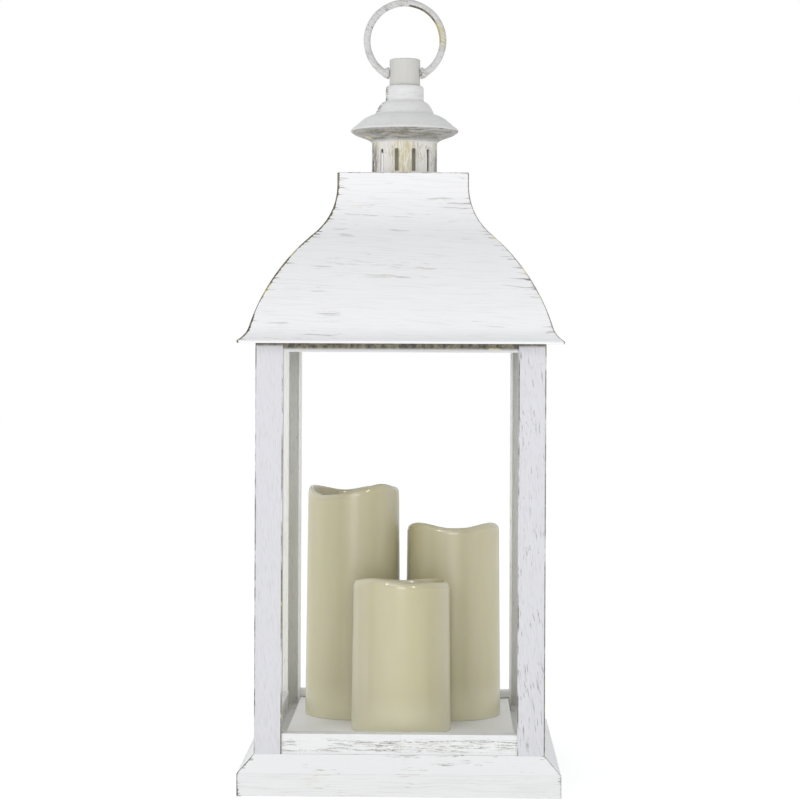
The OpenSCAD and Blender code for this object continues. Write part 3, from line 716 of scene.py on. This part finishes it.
def ring_handle():
    """Open ring of round bar, slightly out of true, with flared collars and pins."""
    low, high = box_mm("ring_handle")
    collar_r = (high.y - low.y) / 2
    bar_r, centre_r, rise, pivot_z = 3.25, 35.2, 30.0, 642.6
    centre_z = high.z - centre_r - bar_r
    end = math.degrees(math.acos(rise / centre_r))
    bm = bmesh.new()
    layer = worn_layer(bm)
    steps, sides, collar_sides = 120, 20, 40

    # The bar's ends run a few degrees into the collars
    tuck = 3.0
    start, stop = -90 + end - tuck, 270 - end + tuck
    rings = []
    for i in range(steps + 1):
        a = math.radians(start + (stop - start) * i / steps)
        out = Vector((math.cos(a), 0, math.sin(a)))
        r = bar_r * (1 + 0.018 * math.sin(5 * a + 0.6) + 0.012 * math.sin(11 * a))
        upper_right = math.cos(a) > 0.1 and math.sin(a) > -0.1
        ring = []
        for k in range(sides):
            b = 2 * math.pi * k / sides
            place = out * (centre_r + r * math.cos(b)) + Vector((0, r * math.sin(b), centre_z))
            v = bm.verts.new(place * MM)
            inner = max(0.0, -math.cos(b))
            v[layer] = max(0.75 * abs(math.cos(b)) ** 6, 1.7 * inner if upper_right else 0.0)
            ring.append(v)
        rings.append(ring)
    bridge_all(bm, rings)
    bm.faces.new(rings[0])
    bm.faces.new(rings[-1])
    profile = [
        (POLE_R, 6.0), (2.6, 6.0), (3.0, 6.4), (3.0, 14.5), (collar_r - 0.4, 14.6), (collar_r, 15.0),
        (collar_r - 0.1, 16.4), (collar_r - 0.7, 17.4), (4.2, 18.8), (3.3, 20.4), (2.0, 21.2),
        (POLE_R, 21.4),
    ]
    for side in (-1, 1):
        collar = []
        for r, x in profile:
            ring = []
            for k in range(collar_sides):
                b = 2 * math.pi * k / collar_sides
                v = bm.verts.new((side * x * MM, r * math.cos(b) * MM, (pivot_z + r * math.sin(b)) * MM))
                v[layer] = 0.8 if abs(r - collar_r) < 0.2 else 0.0
                ring.append(v)
            collar.append(ring)
        bridge_all(bm, collar)
        bm.faces.new(collar[0])
        bm.faces.new(collar[-1])
    emit(bm, "ring_skin", "ring", "ring", "ring_handle", smooth=60)


# For each candle, how far its rim lies below its highest point in mm, and then the bumps round
# it: direction in degrees (270 is the front), depth in mm (below 0 it rises), width in degrees
RIMS = {
    "tall": (5.0, [(104, 5.0, 30), (172, -1.5, 22), (228, 5.5, 28), (260, 1.5, 20), (312, -5.0, 28)]),
    "middle": (5.5, [(90, 5.2, 45), (221, -5.5, 36), (325, -5.5, 36)]),
    "short": (7.0, [(90, 4.0, 36), (180, -1.0, 20), (236, -5.2, 38), (305, -1.5, 30)]),
}


def rim_drop(which, degrees):
    """How far the melted rim lies below its highest point in one direction, in mm."""
    drop, bumps = RIMS[which]
    for centre, depth, width in bumps:
        away = (degrees - centre + 180) % 360 - 180
        drop += depth * math.exp(-(away / width) ** 2)
    return max(drop, 0.0)


def candle(which):
    """Drafted shell whose rounded, melted rim dips and swells round the top."""
    low, high = box_mm("candle_" + which)
    insert_low, insert_high = box_mm("insert_" + which)
    cx, cy = (insert_low.x + insert_high.x) / 2, (insert_low.y + insert_high.y) / 2
    height, insert_z = high.z - low.z, insert_low.z - low.z
    foot_r, foot_edge, foot_t, foot_hole_r = 44.8, 0.6, 2.4, 32.0
    draft, wall, steps = math.radians(0.6), 2.8, 192
    lip_out, lip_drop, lip_in, lip_inner_drop, lip_clear = 3.4, 5.6, 1.4, 2.3, 1.0
    ledge_w, ledge_h, ledge_lift, pool_lift = 1.8, 1.6, 0.05, 1.9
    seed = {"tall": 0.0, "middle": 2.1, "short": 4.4}[which]

    def radius(z):
        return foot_r - z * math.tan(draft)

    def column(degrees):
        """Points up the outside, over the rim and down the inside: radius, height, gloss."""
        a = math.radians(degrees)
        swell = 0.06 * math.sin(2 * a + seed) + 0.04 * math.sin(5 * a + 2 * seed)
        rim = height - rim_drop(which, degrees)
        shoulder = rim - lip_drop - lip_clear
        edge = radius(shoulder) + swell
        points = [
            (radius(0) - foot_edge, 0, 0), (radius(0) - foot_edge / 4, foot_edge / 4, 0),
            (radius(foot_edge), foot_edge, 0),
        ]
        for share in (0.03, 0.12, 0.25, 0.4, 0.55, 0.7, 0.82, 0.92, 1.0):
            z = foot_edge + (shoulder - foot_edge) * share
            points.append((radius(z) + swell * share, z, 0))
        for i in range(7):
            t = math.radians(15 * i)
            r = edge - lip_out * (1 - math.cos(t))
            points.append((r, rim - lip_drop * (1 - math.sin(t)), min(1, i)))
        for i in range(1, 4):
            t = math.radians(30 * i)
            r = edge - lip_out - lip_in * math.sin(t)
            points.append((r, rim - lip_inner_drop * (1 - math.cos(t)), 1))
        inner, inner_top = edge - lip_out - lip_in, rim - lip_inner_drop
        for share, lean in ((0.3, 0.1), (0.7, 0.5), (1.0, 1.2)):
            points.append((inner - lean, inner_top + (insert_z + pool_lift - inner_top) * share, 0.5))
        ledge_r = radius(insert_z) - wall - ledge_w
        points += [
            (ledge_r, insert_z + ledge_lift, 0), (ledge_r, insert_z - ledge_h, 0),
            (ledge_r + ledge_w, insert_z - ledge_h - ledge_w, 0), (radius(foot_t) - wall, foot_t, 0),
            (foot_hole_r, foot_t, 0), (foot_hole_r, 0.0, 0),
        ]
        return points

    bm = bmesh.new()
    layer = worn_layer(bm)
    rows = []
    for k in range(steps):
        degrees = 360.0 * k / steps
        a = math.radians(degrees)
        row = []
        for r, z, gloss in column(degrees):
            v = bm.verts.new(Vector((cx + r * math.cos(a), cy + r * math.sin(a), low.z + z)) * MM)
            v[layer] = gloss
            row.append(v)
        rows.append(row)
    for near, far in zip(rows, rows[1:] + rows[:1]):
        bridge(bm, far, near)
    emit(bm, f"candle_{which}_skin", "lantern", "candle", "candle_" + which, smooth=45)


def led(which):
    """Milky 5 mm LED."""
    low, high = box_mm("led_" + which)
    cx, cy = (low.x + high.x) / 2, (low.y + high.y) / 2
    r, z0, z1 = (high.x - low.x) / 2, low.z, high.z
    outline = [(POLE_R, z0), (r, z0), (r, z1 - r)]
    outline += arc(0, z1 - r, r, 0, 88, 8)[1:]
    outline.append((POLE_R, z1))
    bm, rings = turned([(x, z, 0.0) for x, z in outline], 32, closed=False)
    bm.faces.new(rings[0])
    bm.faces.new(rings[-1])
    bmesh.ops.translate(bm, verts=bm.verts, vec=(cx * MM, cy * MM, 0))
    emit(bm, f"led_{which}_skin", "lantern", "led", "led_" + which)


def build():
    roof()
    chimney()
    bell_cap()
    refined("neck", "neck", 0.7, 3)
    ring_handle()
    for which in RIMS:
        candle(which)
        refined("insert_" + which, "insert", 0.5)
        led(which)
        refined("led_holder_" + which, "dark", 0.4)
    refined("plinth", "body", 0.9)
    refined("deck", "deck", 0.8)
    refined("base_cover", "plain", 0.3)
    refined("battery_door", "plain", 0.25)
    refined("post_front_left", "post", 0.6)
    refined("post_front_right", "post_worn", 0.6)
    for side in ("left", "right"):
        refined("post_back_" + side, "post_back", 0.6)
    for side in ("front", "right", "back", "left"):
        refined("bottom_rail_" + side, "rail", 0.3)
        refined("top_rail_" + side, "lintel", 0.4)
    refined("roof_frame", "plain", 0.4)
    refined("spacer_tube", "core", 0.4)
    refined("foot_pads", "rubber", 0.5)
    for node in ("battery_box", "timer_chip", "switch_body", "switch_knob"):
        refined(node, "dark", 0.15, 1)
    for node in ("base_screws", "deck_screws", "post_screws", "roof_screws", "candle_screws", "tie_nut"):
        refined(node, "steel", 0.2, 1)
    refined("tie_rod", "steel", 0.3, 1)
    refined("contact_plates", "steel", 0.1, 1)
    refined("timer_board", "board", 0.1, 1)
    for node in ("cell_1", "cell_2", "cell_3"):
        refined(node, "cell", 0.4)
    for node, material in (("contact_springs", "steel"), ("battery_leads", "lead"),
                           ("switch_leads", "lead"), ("led_leads", "lead")):
        NODES[node].data.materials.clear()
        NODES[node].data.materials.append(MATERIALS[material])


# ------------------------------------------------------- floor, light, camera

def stage():
    """A pale floor that also glows a little, so that it stays white to the camera."""
    mesh = bpy.data.meshes.new("floor")
    bm = bmesh.new()
    bmesh.ops.create_grid(bm, x_segments=2, y_segments=2, size=FLOOR_SIZE)
    bm.to_mesh(mesh)
    bm.free()
    floor = bpy.data.objects.new("floor", mesh)
    bpy.context.scene.collection.objects.link(floor)
    s = Shader("floor_paper")
    s.constants(
        Base_Color=(0.93, 0.93, 0.93, 1.0), Roughness=0.9,
        Emission_Color=(1.0, 1.0, 1.0, 1.0), Emission_Strength=FLOOR_GLOW,
    )
    mesh.materials.append(s.material)


def softbox(name, place, target, size, power):
    data = bpy.data.lights.new(name, "AREA")
    data.shape = "RECTANGLE"
    data.size, data.size_y = size
    data.energy = power
    lamp = bpy.data.objects.new(name, data)
    lamp.location = place
    lamp.rotation_euler = (Vector(target) - Vector(place)).to_track_quat("-Z", "Y").to_euler()
    bpy.context.scene.collection.objects.link(lamp)


def world_ramp(tree, direction, start, end, at_start, at_end):
    """A strength that changes evenly from at_start to at_end as the direction goes start to end."""
    node = tree.nodes.new("ShaderNodeMapRange")
    tree.links.new(direction, node.inputs["Value"])
    node.inputs["From Min"].default_value = start
    node.inputs["From Max"].default_value = end
    node.inputs["To Min"].default_value = at_start
    node.inputs["To Max"].default_value = at_end
    return node.outputs[0]


def light():
    """A white studio: soft light mostly from the front, and a white background to the camera."""
    world = bpy.data.worlds.new("studio")
    bpy.context.scene.world = world
    world.use_nodes = True
    tree = world.node_tree
    tree.nodes.clear()
    output = tree.nodes.new("ShaderNodeOutputWorld")
    ambient = tree.nodes.new("ShaderNodeBackground")
    seen = tree.nodes.new("ShaderNodeBackground")
    choose = tree.nodes.new("ShaderNodeMixShader")
    path = tree.nodes.new("ShaderNodeLightPath")
    coords = tree.nodes.new("ShaderNodeTexCoord")
    split = tree.nodes.new("ShaderNodeSeparateXYZ")
    tree.links.new(coords.outputs["Generated"], split.inputs[0])
    strength = tree.nodes.new("ShaderNodeMath")
    strength.operation = "MULTIPLY"
    front = world_ramp(tree, split.outputs["Y"], 0.6, -0.9, WORLD_BACK, WORLD_FRONT)
    side = world_ramp(tree, split.outputs["X"], -1.0, 1.0, WORLD_LEFT, WORLD_RIGHT)
    tree.links.new(front, strength.inputs[0])
    tree.links.new(side, strength.inputs[1])
    tree.links.new(strength.outputs[0], ambient.inputs["Strength"])
    ambient.inputs["Color"].default_value = (0.97, 0.985, 1.0, 1.0)
    seen.inputs["Color"].default_value = (1.0, 1.0, 1.0, 1.0)
    tree.links.new(path.outputs["Is Camera Ray"], choose.inputs[0])
    tree.links.new(ambient.outputs[0], choose.inputs[1])
    tree.links.new(seen.outputs[0], choose.inputs[2])
    tree.links.new(choose.outputs[0], output.inputs["Surface"])
    softbox("key", (-0.7, -2.3, 1.6), (0, 0, 0.25), (1.6, 1.2), 5)
    softbox("front", (0.1, -2.6, 0.45), (0, 0, 0.3), (0.9, 0.9), 8)
    for side in (-1, 1):
        softbox("glint", (1.45 * side, -2.3, 1.45), (0, 0, 0.25), (0.3, 1.0), 5.5)


def camera():
    """A camera 0.4 m up that looks level at the lantern, from about 2 m in front of it."""
    place, yaw, roll = (0.0397, -2.024, 0.397), 1.2, 0.25
    data = bpy.data.cameras.new("camera")
    data.sensor_width = 36.0
    data.lens = 98.2
    data.clip_end = 50.0
    data.shift_x = -0.001
    data.shift_y = -0.0775
    cam = bpy.data.objects.new("camera", data)
    cam.matrix_world = (
        Matrix.Translation(place)
        @ Matrix.Rotation(math.radians(yaw), 4, "Z")
        @ Matrix.Rotation(math.radians(90), 4, "X")
        @ Matrix.Rotation(math.radians(roll), 4, "Z")
    )
    bpy.context.scene.collection.objects.link(cam)
    bpy.context.scene.camera = cam
    bpy.context.scene.view_settings.view_transform = "Standard"


camera()
light()
stage()
build()
